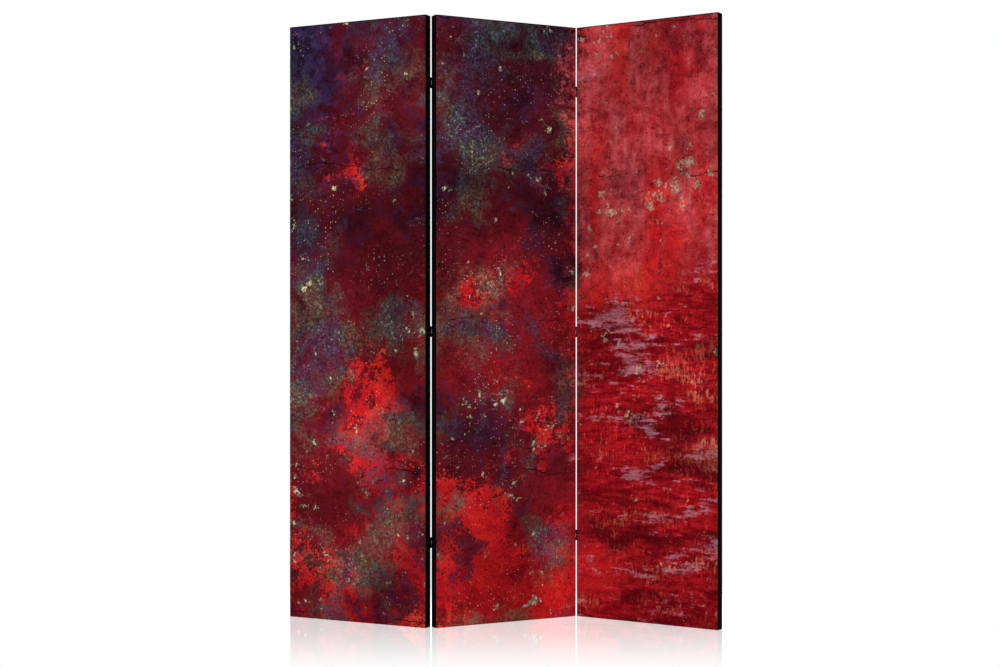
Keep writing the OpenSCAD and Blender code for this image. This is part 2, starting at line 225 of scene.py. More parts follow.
def relief(tree, height, depth, below=None, strength=1.0):
    """Bumps of a real depth, laid over other bumps if there are any"""
    inputs = {"Height": height, "Distance": depth, "Strength": strength, "Normal": below}
    return add(tree, "Bump", inputs).outputs[0]


# %% [markdown]
# ## Floor and light
#
# The photograph is a cut-out on white, with a faint mirror image below the panels that fades away
# within half a metre. The floor here is a pale matt board, and that is what lights the object from
# below. A camera ray sees plain white in its place, mixed near the screen's feet with a mirror and
# a little of the board, which bring in the reflection and the shadow. The mirror gives back more
# than it gets, because so much white is mixed in that the red would turn grey otherwise.

# %% The floor
FLOOR_HALF = 30
FOOTPRINT_HALF = (0.54, 0.02, 0.0)
FADE_REACH = 0.78
NEAR_SHARE = 0.46
BOARD_SHARE = 0.25
BOARD_WHITE = 0.95
BOARD_ROUGH = 0.8
MIRROR_GAIN = 3.0
MIRROR_ROUGH = 0.07

floor_mesh = bpy.data.meshes.new("floor")
floor_corners = [(x * FLOOR_HALF, y * FLOOR_HALF, 0) for x, y in ((-1, -1), (1, -1), (1, 1), (-1, 1))]
floor_mesh.from_pydata(floor_corners, [], [(0, 1, 2, 3)])
floor = bpy.data.objects.new("floor", floor_mesh)
bpy.context.scene.collection.objects.link(floor)


def seen_directly(tree):
    """1 for rays from the camera, a mirror or glass, and 0 for rays that carry light"""
    rays = tree.nodes.new("ShaderNodeLightPath").outputs
    camera_or_mirror = sum_of(tree, rays["Is Camera Ray"], rays["Is Glossy Ray"])
    return add(tree, "Math", {0: camera_or_mirror, 1: rays["Is Transmission Ray"]},
               operation="ADD", use_clamp=True).outputs[0]


def grey(value):
    return value, value, value, 1


floor_material, tree, shader = new_material("floor")
shader.inputs["Base Color"].default_value = grey(BOARD_WHITE)
shader.inputs["Roughness"].default_value = BOARD_ROUGH
mirror = add(tree, "BsdfGlossy", {"Color": grey(MIRROR_GAIN), "Roughness": MIRROR_ROUGH})
white = add(tree, "Emission", {"Color": grey(1), "Strength": 1.0})
position = tree.nodes.new("ShaderNodeNewGeometry").outputs["Position"]
outside = vector_math(tree, "SUBTRACT", vector_math(tree, "ABSOLUTE", position)[0], FOOTPRINT_HALF)[0]
distance = vector_math(tree, "LENGTH", vector_math(tree, "MAXIMUM", outside, (0, 0, 0))[0])["Value"]
near_share = spread(tree, distance, 0, FADE_REACH, NEAR_SHARE, 0.0)
wet = add(tree, "MixShader", {0: BOARD_SHARE, 1: mirror.outputs[0], 2: shader.outputs[0]})
seen = add(tree, "MixShader", {0: near_share, 1: white.outputs[0], 2: wet.outputs[0]})
mixed = add(tree, "MixShader", {0: seen_directly(tree), 1: shader.outputs[0], 2: seen.outputs[0]})
tree.links.new(mixed.outputs[0], tree.nodes["Material Output"].inputs["Surface"])
floor_mesh.materials.append(floor_material)

# %% [markdown]
# The light is that of a plain studio: an even, pale surrounding that fills every side, two large
# soft lamps in front, the left one stronger, and a weaker one behind. Their strengths add up so
# that a matt surface facing the camera shows its colour about as it is written.

# %% The surroundings and the lamps
SURROUND_STRENGTH = 0.62
LAMPS = {
    "key": {"place": (-3.2, -4.2, 3.2), "power": 95},
    "fill": {"place": (3.6, -3.8, 2.4), "power": 62},
    "back": {"place": (0.6, 4.2, 3.0), "power": 45},
}
LAMP_SIZE = 2.6
LAMP_TARGET = Vector((0, 0, 0.85))

world = bpy.data.worlds.new("studio")
bpy.context.scene.world = world
world.use_nodes = True
tree = world.node_tree
tree.nodes.clear()
strength = spread(tree, seen_directly(tree), 0, 1, SURROUND_STRENGTH, 1.0, soft=False)
surround = add(tree, "Background", {"Color": grey(1), "Strength": strength})
output = tree.nodes.new("ShaderNodeOutputWorld")
tree.links.new(surround.outputs[0], output.inputs["Surface"])

for name, lamp in LAMPS.items():
    light = bpy.data.lights.new(name, "AREA")
    light.shape = "DISK"
    light.size = LAMP_SIZE
    light.energy = lamp["power"]
    thing = bpy.data.objects.new(name, light)
    thing.location = lamp["place"]
    thing.rotation_euler = (LAMP_TARGET - thing.location).to_track_quat("-Z", "Y").to_euler()
    bpy.context.scene.collection.objects.link(thing)

# %% [markdown]
# ## Where each panel stands
#
# A panel is easiest to build in its own frame: x across it, y through it from front to back, z up.
# The back cover is a plain rectangle, so the direction in which its corners spread most is the
# panel's width. The canvas then gives the panel's middle and its size. Everything below is built
# in that frame and carried to its place by one matrix.

# %% Measure the panels
PANELS = ("left", "middle", "right")


def points_of(node):
    mesh = frame["nodes"][node].data
    flat = np.empty(len(mesh.vertices) * 3)
    mesh.vertices.foreach_get("co", flat)
    return flat.reshape(-1, 3)


def across(points):
    """The level direction along which points spread most, pointing to the right"""
    level = points[:, :2] - points[:, :2].mean(0)
    direction = np.linalg.eigh(level.T @ level)[1][:, 1]
    return direction if direction[0] > 0 else -direction


def in_panel(place, points):
    """Points of the room in a panel's own frame"""
    inverse = np.array(place.inverted())
    return points @ inverse[:3, :3].T + inverse[:3, 3]


def panel_place(panel):
    """The matrix that carries a panel's own frame to where the panel stands"""
    canvas = points_of(f"{panel}_panel_canvas")
    cover = points_of(f"{panel}_panel_back_cover")
    direction = across(cover)
    turned = Matrix.Rotation(math.atan2(direction[1], direction[0]), 4, "Z")
    inside = in_panel(turned, np.vstack([canvas, cover]))
    middle = (inside.min(0) + inside.max(0)) / 2
    return turned @ Matrix.Translation((middle[0], middle[1], 0))


places = {panel: panel_place(panel) for panel in PANELS}
canvas_points = in_panel(places["middle"], points_of("middle_panel_canvas"))
canvas_low, canvas_high = Vector(canvas_points.min(0)), Vector(canvas_points.max(0))
PANEL_HALF_W = canvas_high.x
PANEL_H = canvas_high.z
FRONT_Y = canvas_low.y
CANVAS_BACK_Y = canvas_high.y
turns = {panel: place.to_euler().z for panel, place in places.items()}
print("panel", round(2 * PANEL_HALF_W, 4), "x", round(PANEL_H, 4), "front", round(FRONT_Y, 5))
print("turns", {panel: round(math.degrees(turn), 2) for panel, turn in turns.items()})

# %% [markdown]
# ## The canvas
#
# One piece of cloth covers a panel. It lies flat in front, turns round the four edges, and is
# folded over onto the back, where staples hold it. It could be drawn as a box with a cloth
# material, but then its edges would be knife-sharp and its corners too clean. So the mesh follows
# the cloth: a flat grid in front, then closed loops that run outwards, round the edge and back in.
#
# Each loop is a rectangle with round corners. The path below gives every loop its distance in from
# the panel's edge and its depth.

# %% The cloth's path round an edge
CLOTH_T = 0.45 * MM
EDGE_R = 0.5 * MM
CORNER_R = 1.2 * MM
FOLD_T = 0.4 * MM
RETURN_W = 28 * MM
FRONT_BAND = 12 * MM
BEND_STEPS = 4
SIDE_STEPS = 5
RETURN_STEPS = 6


def cloth_path():
    """(distance in from the edge, depth) of each loop, from the front's border to the cloth's end"""
    bend = [math.pi / 2 * step / BEND_STEPS for step in range(BEND_STEPS + 1)]
    front = [(FRONT_BAND, FRONT_Y), (FRONT_BAND / 2, FRONT_Y), (1.3 * EDGE_R, FRONT_Y)]
    front_bend = [(EDGE_R * (1 - math.sin(a)), FRONT_Y + EDGE_R * (1 - math.cos(a))) for a in bend]
    side_ys = np.linspace(FRONT_Y + EDGE_R, CANVAS_BACK_Y - EDGE_R, SIDE_STEPS + 1)[1:-1]
    side = [(0.0, y) for y in side_ys]
    back_bend = [(EDGE_R * (1 - math.cos(a)), CANVAS_BACK_Y - EDGE_R * (1 - math.sin(a))) for a in bend]
    insets = np.linspace(EDGE_R, RETURN_W, RETURN_STEPS + 1)[1:]
    return front + front_bend + side + back_bend + [(inset, CANVAS_BACK_Y) for inset in insets]


path = cloth_path()
runs = [-FRONT_BAND]
for before, after in zip(path, path[1:]):
    runs.append(runs[-1] + math.dist(before, after))
print("loops:", len(path), "cloth turned over:", round(runs[-1], 4))

# %% [markdown]
# The cloth is stretched hard, yet not perfectly flat: between the wooden bars it lies a little
# deeper than on them. A fifth of a millimetre is enough to catch the light.
#
# Every point also keeps its place on the flat cloth, as if the corners were unfolded again. That
# becomes the UV map in metres, so threads and ink keep their scale wherever the cloth turns.

# %% A loop of cloth, and how the front sags
FRAME_W = 38 * MM
SAG = 0.22 * MM
SAG_SLOPE = 30 * MM
RIPPLE_W = 110 * MM
RIPPLE_SHARE = 0.5
LOOP_STEPS_X = 24
LOOP_STEPS_Z = 84
CORNER_STEPS = 4


def soft_step(share):
    share = min(max(share, 0), 1)
    return share * share * (3 - 2 * share)


def off_bars(x, z):
    """How far inside an opening between the bars a point lies, or below 0 on a bar"""
    return min(PANEL_HALF_W - abs(x) - FRAME_W, z - FRAME_W, PANEL_H - z - FRAME_W,
               abs(z - PANEL_H / 2) - FRAME_W / 2)


def front_sag(x, z):
    """How far the front lies behind the bars' plane"""
    ripple = 1 + RIPPLE_SHARE * noise.noise(Vector((x, z, 0)) / RIPPLE_W)
    return SAG * soft_step(off_bars(x, z) / SAG_SLOPE) * ripple


def cloth_loop(inset, depth, run):
    """A loop's points as (place on the panel, place on the flat cloth)"""
    radius = max(CORNER_R - inset, 0)
    right = PANEL_HALF_W - inset - radius
    bottom = FOLD_T + inset + radius
    top = PANEL_H - FOLD_T - inset - radius
    centres = [(right, bottom), (right, top), (-right, top), (-right, bottom)]
    made = []
    for corner, centre in enumerate(centres):
        start = math.pi / 2 * (corner - 1)
        outward = Vector((math.cos(start), math.sin(start)))
        before = Vector(centres[corner - 1]) + radius * outward
        after = Vector(centre) + radius * outward
        steps = LOOP_STEPS_X if corner % 2 == 0 else LOOP_STEPS_Z
        made += [(before.lerp(after, step / steps), outward) for step in range(steps)]
        for step in range(CORNER_STEPS):
            angle = start + math.pi / 2 * step / CORNER_STEPS
            outward = Vector((math.cos(angle), math.sin(angle)))
            made.append((Vector(centre) + radius * outward, outward))
    return [(Vector((at.x, depth, at.y)), at + outward * (run + inset)) for at, outward in made]


# %% [markdown]
# At each corner the spare cloth is tucked under. The top fold lies over the side fold, so above
# and below a corner there is a flat double layer with a rounded lip. It is a small extra patch
# here, thickest over the tucked triangle, and it is what the panel really stands on.

# %% The folded corners
TUCK_W = 25 * MM
TUCK_STEPS = 12
TUCK_SLOPE = 0.25 * TUCK_W
TUCK_SLOPE_IN = 0.15 * TUCK_W
TUCK_SINK = 0.4
LIP_IN = 0.5 * MM
LIP_RISE = 0.6


def corner_fold(side, up):
    """A grid of points for the doubled cloth at one corner: side is -1 or 1, up is 0 or 1"""
    ys = np.linspace(FRONT_Y + 0.5 * EDGE_R, CANVAS_BACK_Y - 0.5 * EDGE_R, TUCK_STEPS)
    rows = []
    for y in ys:
        slope_start = TUCK_W * (y - FRONT_Y) / (CANVAS_BACK_Y - FRONT_Y) - TUCK_SLOPE_IN
        row = []
        for step in np.linspace(0, 1, TUCK_STEPS):
            inward = LIP_IN + step * TUCK_W
            share = 1 - min(max((inward - slope_start) / TUCK_SLOPE, 0), 1)
            rise = FOLD_T * ((1 + TUCK_SINK) * share - TUCK_SINK) * (LIP_RISE if step == 0 else 1)
            z = PANEL_H - FOLD_T + rise if up else FOLD_T - rise
            x = side * (PANEL_HALF_W - inward)
            row.append((Vector((x, y, z)), Vector((x, z + (y - FRONT_Y) * (1 if up else -1)))))
        rows.append(row)
    return rows


# %% [markdown]
# Now these parts become one mesh. Each is a grid of points, so one function turns any of them into
# quads, and points that fall on the same spot are welded. Extruding the edges by hand would give
# the same shape, but would lose each point's place on the flat cloth. The front's points then move
# back by the sag, which is nothing on the bars.

# %% Join the grid, the loops and the folds
WELD_REACH = 0.001 * MM
FRONT_SLACK = 0.01 * MM


def add_grid(mesh, flat, rows, reverse=False):
    """Adds a grid of (place, flat place) points as quads"""
    grid = [[mesh.verts.new(at) for at, _ in row] for row in rows]
    for row, places_on_cloth in zip(grid, rows):
        for vertex, (_, on_cloth) in zip(row, places_on_cloth):
            vertex[flat] = (*on_cloth, 0)
    for lower, upper in zip(grid, grid[1:]):
        for left in range(len(lower) - 1):
            corners = [lower[left], lower[left + 1], upper[left + 1], upper[left]]
            mesh.faces.new(corners[::-1] if reverse else corners)


def cloth_mesh():
    """The whole canvas in the panel's own frame, one layer thick"""
    mesh = bmesh.new()
    flat = mesh.verts.layers.float_vector.new("flat")
    xs = np.linspace(-PANEL_HALF_W + FRONT_BAND, PANEL_HALF_W - FRONT_BAND, LOOP_STEPS_X + 1)
    zs = np.linspace(FOLD_T + FRONT_BAND, PANEL_H - FOLD_T - FRONT_BAND, LOOP_STEPS_Z + 1)
    add_grid(mesh, flat, [[(Vector((x, FRONT_Y, z)), Vector((x, z))) for x in xs] for z in zs])
    loops = [cloth_loop(inset, depth, run) for (inset, depth), run in zip(path, runs)]
    columns = [list(points) + [points[0]] for points in loops]
    add_grid(mesh, flat, columns, reverse=True)
    for side in (-1, 1):
        for up in (0, 1):
            add_grid(mesh, flat, corner_fold(side, up), reverse=(side == 1) == (up == 1))
    bmesh.ops.remove_doubles(mesh, verts=mesh.verts, dist=WELD_REACH)
    for vertex in mesh.verts:
        if vertex.co.y < FRONT_Y + FRONT_SLACK:
            vertex.co.y += front_sag(vertex.co.x, vertex.co.z)
    return mesh, flat


# %% [markdown]
# The picture is one big print, cut into three strips. Its own UV map is the flat cloth's place
# plus the strip's place in the picture, so that the colours carry on from one panel to the next.

# %% Stretch a canvas over each panel
def write_uvs(mesh, flat, shift):
    """The flat cloth in metres as the map 'cloth', and its place in the whole picture as 'picture'"""
    cloth = mesh.loops.layers.uv.new("cloth")
    picture = mesh.loops.layers.uv.new("picture")
    for face in mesh.faces:
        face.smooth = True
        for loop in face.loops:
            loop[cloth].uv = loop.vert[flat].xy
            loop[picture].uv = loop.vert[flat].xy + Vector((shift, 0))


def thicken(piece, thickness):
    """Gives a layer of cloth its thickness, inwards from the side that was modelled"""
    solid = piece.modifiers.new("thickness", "SOLIDIFY")
    solid.thickness = thickness
    solid.offset = -1


def set_in_place(mesh, name, panel, node):
    """Makes an object of a mesh drawn in a panel's own frame, in the place of a CAD node"""
    data = bpy.data.meshes.new(name)
    mesh.to_mesh(data)
    mesh.free()
    data.transform(places[panel])
    piece = bpy.data.objects.new(name, data)
    bpy.context.scene.collection.objects.link(piece)
    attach(piece, f"{panel}_panel")
    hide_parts(node)
    return piece


canvases = {}
for strip, panel in enumerate(PANELS):
    mesh, flat = cloth_mesh()
    write_uvs(mesh, flat, (strip - 1) * 2 * PANEL_HALF_W)
    canvas = set_in_place(mesh, f"{panel}_printed_canvas", panel, f"{panel}_panel_canvas")
    thicken(canvas, CLOTH_T)
    canvases[panel] = canvas
    print(canvas.name, len(canvas.data.vertices), "points")

# %% [markdown]
# ## The print
#
# The print is a weathered-paint pattern: indigo and maroon at the upper left, red below, rose at
# the right. It is painted the way a decorator would fake old paint, coat over coat: a ground,
# worn-through patches, dust, runs and scrapes, then cracks, chips and specks. Each coat is a short
# function that takes the colour so far and returns the next one. An image would be quicker, but
# a pattern made of nodes stays sharp however close the camera comes.
#
# Three clouds are shared by all coats. *torn* is the picture's own place pushed about, so that
# large shapes wander. *grain* is as fine as sand. *fray* joins grain and crumbs, and is added to
# a shape before it is cut at a threshold, which breaks its edge up and sprinkles pits inside it.

# %% The picture's own coordinates and its grain
STRIP_W = 2 * PANEL_HALF_W
PICTURE_HALF_W = 1.5 * STRIP_W

canvas_material, tree, shader = new_material("printed_canvas")
picture = add(tree, "UVMap", {}, uv_map="picture").outputs[0]
picture_parts = parts_of(tree, picture)
across_share = spread(tree, picture_parts[0], -PICTURE_HALF_W, PICTURE_HALF_W, soft=False)
height_share = spread(tree, picture_parts[1], 0, PANEL_H, soft=False)
torn = pushed(tree, picture, 0.16, 0.12, seed=3)
grain = cloud(tree, picture, 0.0075, seed=5, detail=3, rough=0.65)
crumbs = cloud(tree, picture, 0.036, seed=6, detail=7, rough=0.72)
fray = sum_of(tree, product(tree, grain, 0.55), product(tree, crumbs, 0.85), -0.70)
right_side = spread(tree, sum_of(tree, parts_of(tree, torn)[0], product(tree, fray, 0.25)), 0.17, 0.27)
left_side = flipped(tree, right_side)


def cut(tree, value, at, soft=0.03, raggedness=0.6):
    """1 where a cloud lies above a level and 0 below it, with a frayed edge"""
    return spread(tree, sum_of(tree, value, product(tree, fray, raggedness)), at, at + soft)


# %% [markdown]
# The ground drifts from dark to light, down and to the right, and a wide cloud breaks the drift up.
# Indigo lies over it at the upper left.

# %% The ground coat
GROUND = [
    (0.20, (30, 14, 22)), (0.34, (62, 16, 26)), (0.44, (86, 18, 28)), (0.54, (106, 20, 28)),
    (0.64, (128, 22, 30)), (0.76, (168, 28, 32)), (0.88, (202, 36, 34)), (1.0, (216, 62, 38)),
]


def ground_coat(tree):
    drift = sum_of(
        tree, 0.565,
        product(tree, height_share, -0.21),
        product(tree, across_share, flipped(tree, height_share), 0.22),
        product(tree, right_side, 0.04),
        product(tree, right_side, height_share, 0.34),
        product(tree, centred(tree, cloud(tree, torn, 0.40, seed=11)), 0.70),
        product(tree, fray, 0.28))
    colour = colour_scale(tree, drift, GROUND)
    corner = sum_of(tree, height_share, product(tree, across_share, -1.15),
                    product(tree, cloud(tree, torn, 0.30, seed=12), 0.95))
    indigo = over(tree, linear(18, 17, 42), linear(50, 44, 86), spread(tree, crumbs, 0.35, 0.65))
    upper_left = spread(tree, sum_of(tree, corner, fray), 1.12, 1.36, 0.0, 0.80)
    return drift, over(tree, colour, indigo, upper_left)


drift, colour = ground_coat(tree)

# %% [markdown]
# Bright red shows where the dark coat has worn away, more of it lower down, and it is pitted with
# dark points. Plum stains soak into the rest. The dust is dull olive and teal and sits in grains,
# with the brightest grains in the thick of each cloud.

# %% Worn patches, stains and dust
WORN_REDS = [(0.30, (140, 16, 26)), (0.46, (186, 24, 30)), (0.58, (208, 38, 34)), (0.72, (214, 66, 40))]
DUST_TINTS = [(0.52, (62, 58, 84)), (0.60, (52, 78, 80)), (0.68, (84, 82, 66)), (0.78, (104, 84, 72))]


def worn_coat(tree, colour):
    lumps = sum_of(tree, cloud(tree, torn, 0.30, seed=21, detail=6, rough=0.6), product(tree, drift, 0.80))
    heat = sum_of(tree, cloud(tree, torn, 0.16, seed=22), product(tree, fray, 0.25))
    red = colour_scale(tree, heat, WORN_REDS)
    mask = cut(tree, lumps, 0.985, soft=0.045, raggedness=0.45)
    return over(tree, colour, red, product(tree, mask, spread(tree, left_side, 0, 1, 0.40, 0.88)))


def stain_coat(tree, colour):
    lumps = sum_of(tree, cloud(tree, torn, 0.17, seed=31, detail=4), product(tree, height_share, 0.05))
    plum = over(tree, linear(28, 10, 20), linear(58, 24, 46), spread(tree, crumbs, 0.4, 0.6))
    return over(tree, colour, plum, product(tree, cut(tree, lumps, 0.56, soft=0.08, raggedness=0.9),
                                            spread(tree, left_side, 0, 1, 0.12, 0.85)))


def dust_coat(tree, colour):
    lumps = cloud(tree, torn, 0.24, seed=47, detail=8, rough=0.66)
    shift = sum_of(tree, cloud(tree, torn, 0.16, seed=43), product(tree, drift, 0.25))
    tint = colour_scale(tree, shift, DUST_TINTS)
    patch = product(tree, spread(tree, lumps, 0.48, 0.62), left_side)
    colour = over(tree, colour, tint, product(tree, patch, spread(tree, grain, 0.40, 0.62, 0.25, 0.95)))
    core = product(tree, spread(tree, lumps, 0.55, 0.68), spread(tree, grain, 0.58, 0.66), left_side)
    return over(tree, colour, linear(176, 170, 138), product(tree, core, 0.75))


colour = dust_coat(tree, stain_coat(tree, worn_coat(tree, colour)))

# %% [markdown]
# On the right, thin rose paint has run down over the red. A run is a cloud that is squeezed
# sideways. Below it a stiff brush was dragged across and pulled down: short upright dashes and
# long level ones, cut at thresholds, let mauve and salmon show between crimson ridges.

# %% Runs and scrapes
def run_coat(tree, colour):
    where = spread(tree, height_share, 0.50, 0.66)
    wash = cloud(tree, torn, 0.14, seed=51, detail=6, rough=0.6, stretch=(1, 0.24, 1))
    wash = spread(tree, wash, 0.40, 0.60)
    fine = cloud(tree, picture, 0.016, seed=52, stretch=(1, 0.10, 1))
    fine = spread(tree, fine, 0.35, 0.65, 0.5, 1.0)
    rose = over(tree, linear(140, 44, 50), linear(186, 92, 96), spread(tree, crumbs, 0.35, 0.65))
    colour = over(tree, colour, rose, product(tree, wash, fine, where, right_side, 0.78))
    drips = cloud(tree, torn, 0.055, seed=54, detail=5, stretch=(1, 0.30, 1))
    drips = product(tree, cut(tree, drips, 0.63, soft=0.06), right_side, 0.7)
    return over(tree, colour, linear(84, 16, 24), drips)


def scrape_coat(tree, colour):
    where = sum_of(tree, cloud(tree, torn, 0.26, seed=61, detail=3, stretch=(0.25, 1, 1)),
                   spread(tree, height_share, 0.40, 0.68, 0.10, -0.16))
    band = product(tree, cut(tree, where, 0.485, soft=0.10), right_side)
    dashes = cloud(tree, picture, 0.0075, seed=62, detail=4, rough=0.7, stretch=(1, 0.35, 1))
    strokes = cloud(tree, picture, 0.014, seed=63, detail=5, rough=0.7, stretch=(0.22, 1, 1))
    ridges = sum_of(tree, product(tree, dashes, 0.25), product(tree, strokes, 0.75))
    crimson = over(tree, linear(104, 5, 14), linear(172, 24, 34), spread(tree, ridges, 0.41, 0.59))
    shade = cloud(tree, torn, 0.07, seed=66, detail=4, stretch=(0.16, 1, 1))
    crimson = over(tree, crimson, linear(58, 3, 10), spread(tree, shade, 0.48, 0.62, 0.0, 0.85))
    colour = over(tree, colour, crimson, product(tree, band, 0.9))
    patches = sum_of(tree, cloud(tree, torn, 0.07, seed=64, detail=5, stretch=(0.25, 1, 1)),
                     product(tree, centred(tree, strokes), 0.55))
    mauve = over(tree, linear(120, 56, 68), linear(164, 104, 116), spread(tree, strokes, 0.40, 0.62))
    rubbed = product(tree, spread(tree, strokes, 0.60, 0.70), band, 0.6)
    colour = over(tree, colour, linear(190, 76, 84), rubbed)
    patches = cut(tree, patches, 0.565, soft=0.07, raggedness=0.35)
    colour = over(tree, colour, mauve, product(tree, patches, band, 0.85))
    level_cloud = cloud(tree, torn, 0.11, seed=65, detail=3, stretch=(0.4, 1, 1))
    light = sum_of(tree, product(tree, dashes, 0.7), product(tree, level_cloud, 0.75))
    salmon = over(tree, linear(206, 84, 76), linear(226, 156, 120), crumbs)
    streaks = spread(tree, shade, 0.36, 0.50, 1.0, 0.25)
    return over(tree, colour, salmon, product(tree, spread(tree, light, 0.79, 0.89), streaks, band, 0.75))


colour = scrape_coat(tree, run_coat(tree, colour))

# %% [markdown]
# Next comes what age does. Hairline cracks run nearly level, one above another, with short
# branches. Chips are the peaks of a cloud, cream in the middle and green at the rim, with pale
# veins between them. Specks are islands of a cell pattern, kept only where the cell's own random
# colour says so.

# %% Cracks, chips and specks
CRACK_PITCH = 0.43
CRACK_HALF_W = 2.2 * MM


def near(tree, value, half_width):
    """1 where a value is close to 0, and 0 elsewhere"""
    gap = arithmetic(tree, "ABSOLUTE", value)
    return spread(tree, gap, half_width * 0.4, half_width, 1.0, 0.0)


def crack_coat(tree, colour):
    swing = centred(tree, cloud(tree, picture, 0.09, seed=71, stretch=(0.5, 0.3, 1)))
    z = sum_of(tree, picture_parts[1], product(tree, picture_parts[0], 0.03), product(tree, swing, 0.10))
    lines = near(tree, arithmetic(tree, "PINGPONG", z, CRACK_PITCH / 2), CRACK_HALF_W)
    branch_cloud = cloud(tree, torn, 0.17, seed=72, detail=4, stretch=(1, 0.5, 1))
    branches = near(tree, centred(tree, branch_cloud), 0.004)
    where = cut(tree, cloud(tree, torn, 0.20, seed=73), 0.50, soft=0.05)
    both = arithmetic(tree, "MAXIMUM", lines, product(tree, branches, 0.6))
    return over(tree, colour, linear(24, 6, 12), product(tree, both, where, 0.9))


def islands(tree, at, size, kept, radius):
    """1 inside the few cells whose own random number lies above kept, the surer the larger"""
    pattern = cells(tree, at, size)
    chance = add(tree, "SeparateColor", {0: pattern.outputs["Color"]}).outputs[0]
    kept_cell = spread(tree, chance, kept, kept + 0.01, soft=False)
    reach = product(tree, spread(tree, chance, kept, 1, 0.35, 1.0, soft=False), radius)
    share = arithmetic(tree, "DIVIDE", pattern.outputs["Distance"], reach)
    share = sum_of(tree, share, product(tree, fray, 2.2))
    return product(tree, spread(tree, share, 0.70, 0.95, 1.0, 0.0), kept_cell)


def chip_coat(tree, colour):
    fine = cloud(tree, pushed(tree, picture, 0.02, 0.03, seed=81), 0.034, seed=83, detail=6, rough=0.62)
    coarse = cloud(tree, pushed(tree, picture, 0.03, 0.06, seed=84), 0.095, seed=85, detail=7, rough=0.62)
    where = spread(tree, cloud(tree, torn, 0.22, seed=82, detail=3), 0.52, 0.68)
    raised = sum_of(tree, fine, product(tree, where, 0.10))
    level = arithmetic(tree, "MAXIMUM", raised, sum_of(tree, coarse, -0.02))
    rim = cut(tree, level, 0.635, soft=0.03, raggedness=0.15)
    inside = cut(tree, level, 0.665, soft=0.02, raggedness=0.20)
    share = spread(tree, right_side, 0, 1, 0.85, 0.35)
    green = over(tree, linear(38, 52, 50), linear(84, 112, 96), spread(tree, grain, 0.4, 0.6))
    cream = over(tree, linear(128, 118, 92), linear(206, 188, 156), spread(tree, grain, 0.42, 0.58))
    colour = over(tree, colour, green, product(tree, rim, share, 0.8))
    veins = near(tree, centred(tree, cloud(tree, torn, 0.075, seed=86, detail=5)), 0.0045)
    colour = over(tree, colour, linear(176, 120, 108), product(tree, veins, where, left_side, 0.55))
    return over(tree, colour, cream, product(tree, inside, share))


def speck_coat(tree, colour):
    swarm = spread(tree, cloud(tree, torn, 0.16, seed=91), 0.46, 0.66)
    ragged = pushed(tree, picture, 0.006, 0.006, seed=92)
    pale = islands(tree, ragged, 0.0085, kept=0.80, radius=0.26)
    dark = islands(tree, placed(tree, ragged, shift=(7, 3, 0)), 0.0090, kept=0.70, radius=0.30)
    colour = over(tree, colour, linear(30, 8, 14), product(tree, dark, spread(tree, swarm, 0, 1, 0.8, 0.1)))
    pale = product(tree, pale, swarm, spread(tree, left_side, 0, 1, 0.2, 0.75))
    return over(tree, colour, linear(206, 188, 170), pale)


colour = speck_coat(tree, chip_coat(tree, crack_coat(tree, colour)))

# %% [markdown]
# Old paint is never even, so a last fine mottle lightens and darkens everything. Then the black
# border is printed: the canvas maker's black edge begins a hair inside the front's edge and covers
# the wrapped sides and the turned-over back. It is placed on the flat cloth, with a slight bleed.

# %% Mottle and the black border
BORDER_TOP_IN = 3 * MM
BORDER_IN = 0.7 * MM
BLEED = 0.3 * MM


def mottled(tree, colour):
    wide = sum_of(tree, cloud(tree, torn, 0.26, seed=101, detail=4),
                  product(tree, height_share, right_side, 0.06))
    light = product(tree, spread(tree, crumbs, 0.34, 0.66, 0.74, 1.24, soft=False),
                    spread(tree, grain, 0.32, 0.68, 0.78, 1.20, soft=False),
                    spread(tree, wide, 0.36, 0.60, 0.66, 1.20, soft=False))
    return vector_math(tree, "SCALE", colour, scale=light)[0]


def border_mask(tree, cloth):
    """0 on the picture and 1 on the black edge"""
    x, z, _ = parts_of(tree, cloth)
    beyond_side = sum_of(tree, arithmetic(tree, "ABSOLUTE", x), BORDER_IN - PANEL_HALF_W)
    beyond_top = sum_of(tree, z, BORDER_TOP_IN - PANEL_H)
    beyond_bottom = sum_of(tree, product(tree, z, -1.0), BORDER_IN)
    most = arithmetic(tree, "MAXIMUM", arithmetic(tree, "MAXIMUM", beyond_side, beyond_top), beyond_bottom)
    wander = product(tree, centred(tree, cloud(tree, cloth, 0.004, seed=111)), 2 * BLEED)
    return spread(tree, sum_of(tree, most, wander), -BLEED, BLEED)


cloth = add(tree, "UVMap", {}, uv_map="cloth").outputs[0]
border = border_mask(tree, cloth)
ink_black = over(tree, linear(3, 3, 3), linear(8, 8, 9), cloud(tree, cloth, 0.03, seed=112))
colour = over(tree, mottled(tree, colour), ink_black, border)

# %% [markdown]
# Canvas is a plain weave: each thread goes over one and under the next. Modelled threads would
# take millions of faces, so they are a relief in the material. Two sine waves give the threads,
# and the sign of their product says which one is on top. Slubs, the odd thick threads, are clouds
# squeezed along the thread. The colour is also darkened in the grooves between threads, as painted
# shade, and lightened a little on the thread tops, as a painted highlight.

# %% The weave
THREAD = 0.7 * MM
THREAD_DEPTH = 0.07 * MM
SLUB_W = 1.2 * MM
SLUB_DEPTH = 0.05 * MM
INK_SPECULAR = 0.006


def sine_of(tree, value, period):
    return arithmetic(tree, "SINE", product(tree, value, 2 * math.pi / period))


def weave(tree, cloth):
    """Height of a plain weave, from 0 in the grooves to about 1 on a thread"""
    x, z, _ = parts_of(tree, cloth)
    warp, weft = [sine_of(tree, value, 2 * THREAD) for value in (x, z)]
    on_top = spread(tree, product(tree, warp, weft), -0.2, 0.2)
    rounded = [arithmetic(tree, "ABSOLUTE", wave) for wave in (warp, weft)]
    return over(tree, rounded[0], rounded[1], on_top)


